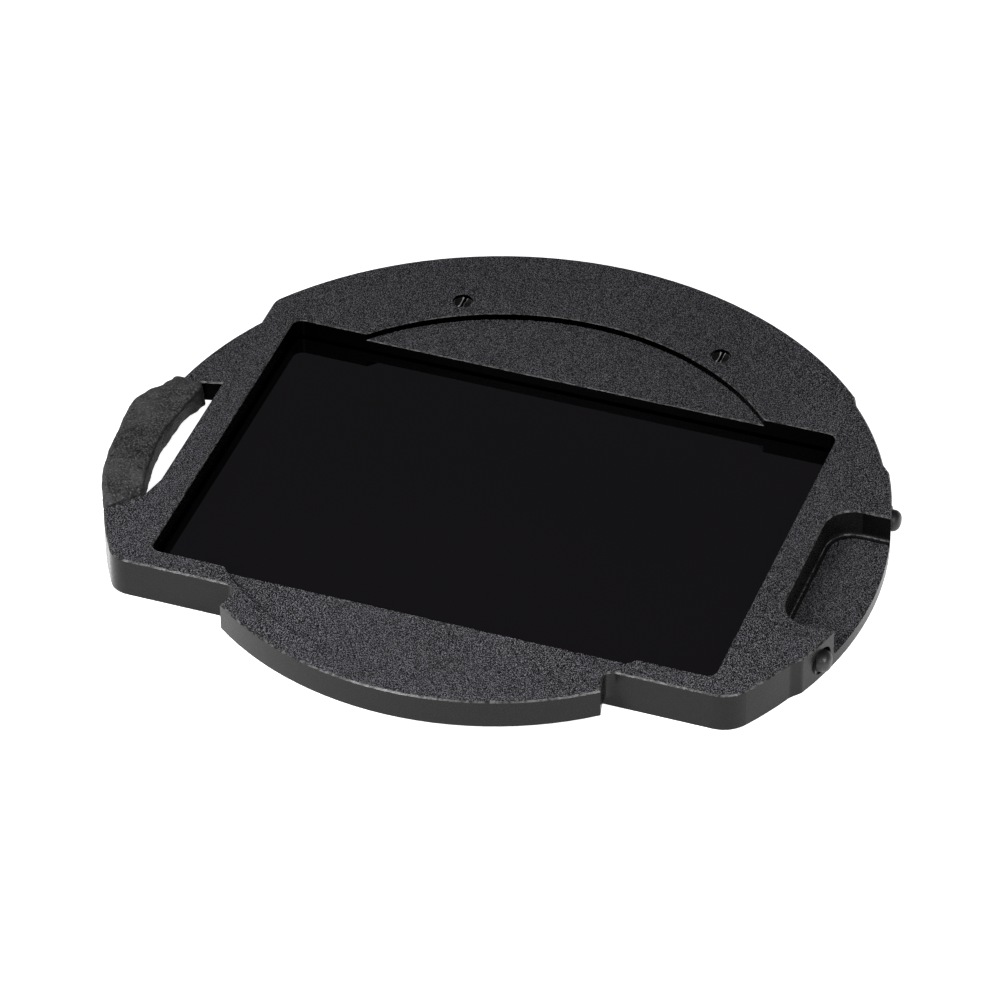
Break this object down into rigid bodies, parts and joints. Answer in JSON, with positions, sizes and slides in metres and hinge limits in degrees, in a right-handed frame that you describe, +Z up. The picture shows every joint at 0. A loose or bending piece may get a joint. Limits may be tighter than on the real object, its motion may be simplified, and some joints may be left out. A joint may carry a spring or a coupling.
{
  "type": "clip-in camera filter carrier",
  "caption": "Flat black clip-in carrier plate holding a dark rectangular filter glass, with a round recess, finger notch, sprung rim plungers and rubber-sleeved grip strip.",
  "frame": {"origin": "on the optical axis at the underside of the plate", "axes": "+X right along the window's long side towards the plungers, +Y towards the back rim with the set screws, +Z up towards the recessed face"},
  "size_m": [0.0511, 0.0462, 0.0031],
  "materials": {
    "anodised": "bead-blasted, black anodised",
    "filter_glass": "polished, near-opaque black coated filter glass",
    "adhesive": "black cured adhesive film",
    "rubber": "matte, slightly lumpy dipped rubber",
    "black_steel": "black oxide, worn bright at the slot",
    "bush_metal": "black oxide",
    "plunger_metal": "black oxide, polished by wear at the tip",
    "spring_steel": "bright stainless wire"
  },
  "bodies": {
    "carrier": {"carrier_frame": "anodised", "filter_glass": "filter_glass", "glass_bond": "adhesive", "grip_sleeve": "rubber", "set_screws": "black_steel", "plunger_bush_back": "bush_metal", "plunger_bush_front": "bush_metal", "plunger_spring_back": "spring_steel", "plunger_spring_front": "spring_steel"},
    "back_plunger": {"plunger_pin_back": "plunger_metal"},
    "front_plunger": {"plunger_pin_front": "plunger_metal"}
  },
  "joints": [
    {"name": "back_plunger_press", "type": "slide", "parent": "carrier", "child": "back_plunger", "axis": [-1, 0, 0], "range_m": [0, 0.00055], "stiffness_N_per_m": 400, "springref_m": -0.00125, "deforming": ["plunger_spring_back"]},
    {"name": "front_plunger_press", "type": "slide", "parent": "carrier", "child": "front_plunger", "axis": [-1, 0, 0], "range_m": [0, 0.00055], "stiffness_N_per_m": 400, "springref_m": -0.00125, "deforming": ["plunger_spring_front"]}
  ]
}
